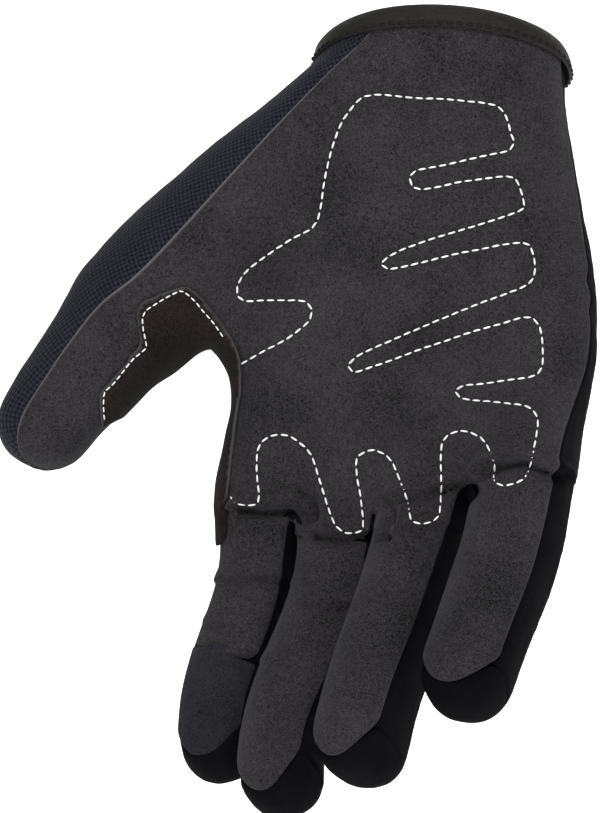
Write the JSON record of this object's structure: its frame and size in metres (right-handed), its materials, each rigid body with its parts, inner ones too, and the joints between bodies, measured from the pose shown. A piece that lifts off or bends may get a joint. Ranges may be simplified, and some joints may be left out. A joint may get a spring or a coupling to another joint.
{
  "type": "motorcycle glove",
  "caption": "Full-finger right-hand riding glove with a suede palm, mesh back, stretch finger backs and a bound wrist opening, shown filled as when worn.",
  "frame": {"origin": "middle of the wrist opening", "axes": "+Z out of the glove through the wrist opening, fingers down -Z; palm faces -Y; +X is the little finger's side, the thumb points to -X"},
  "size_m": [0.1704, 0.1, 0.2268],
  "materials": {
    "suede": "fine brushed synthetic suede, charcoal",
    "patch_suede": "smooth synthetic suede, near black",
    "touch_cloth": "smooth coated cloth, near black",
    "air_mesh": "diamond-knit spacer mesh, navy black",
    "stretch": "smooth four-way stretch knit, black",
    "elastic_tape": "ribbed elastic binding tape, black"
  },
  "bodies": {
    "root": {"palm_panel": "suede", "index_touch_tip": "touch_cloth", "thumb_crotch_patch": "patch_suede", "back_panel": "air_mesh", "side_panel": "stretch", "finger_back_index": "stretch", "finger_back_middle": "stretch", "finger_back_ring": "stretch", "finger_back_little": "stretch", "fourchette_index": "stretch", "fourchette_middle": "stretch", "fourchette_ring": "stretch", "cuff_binding": "elastic_tape"}
  },
  "joints": []
}
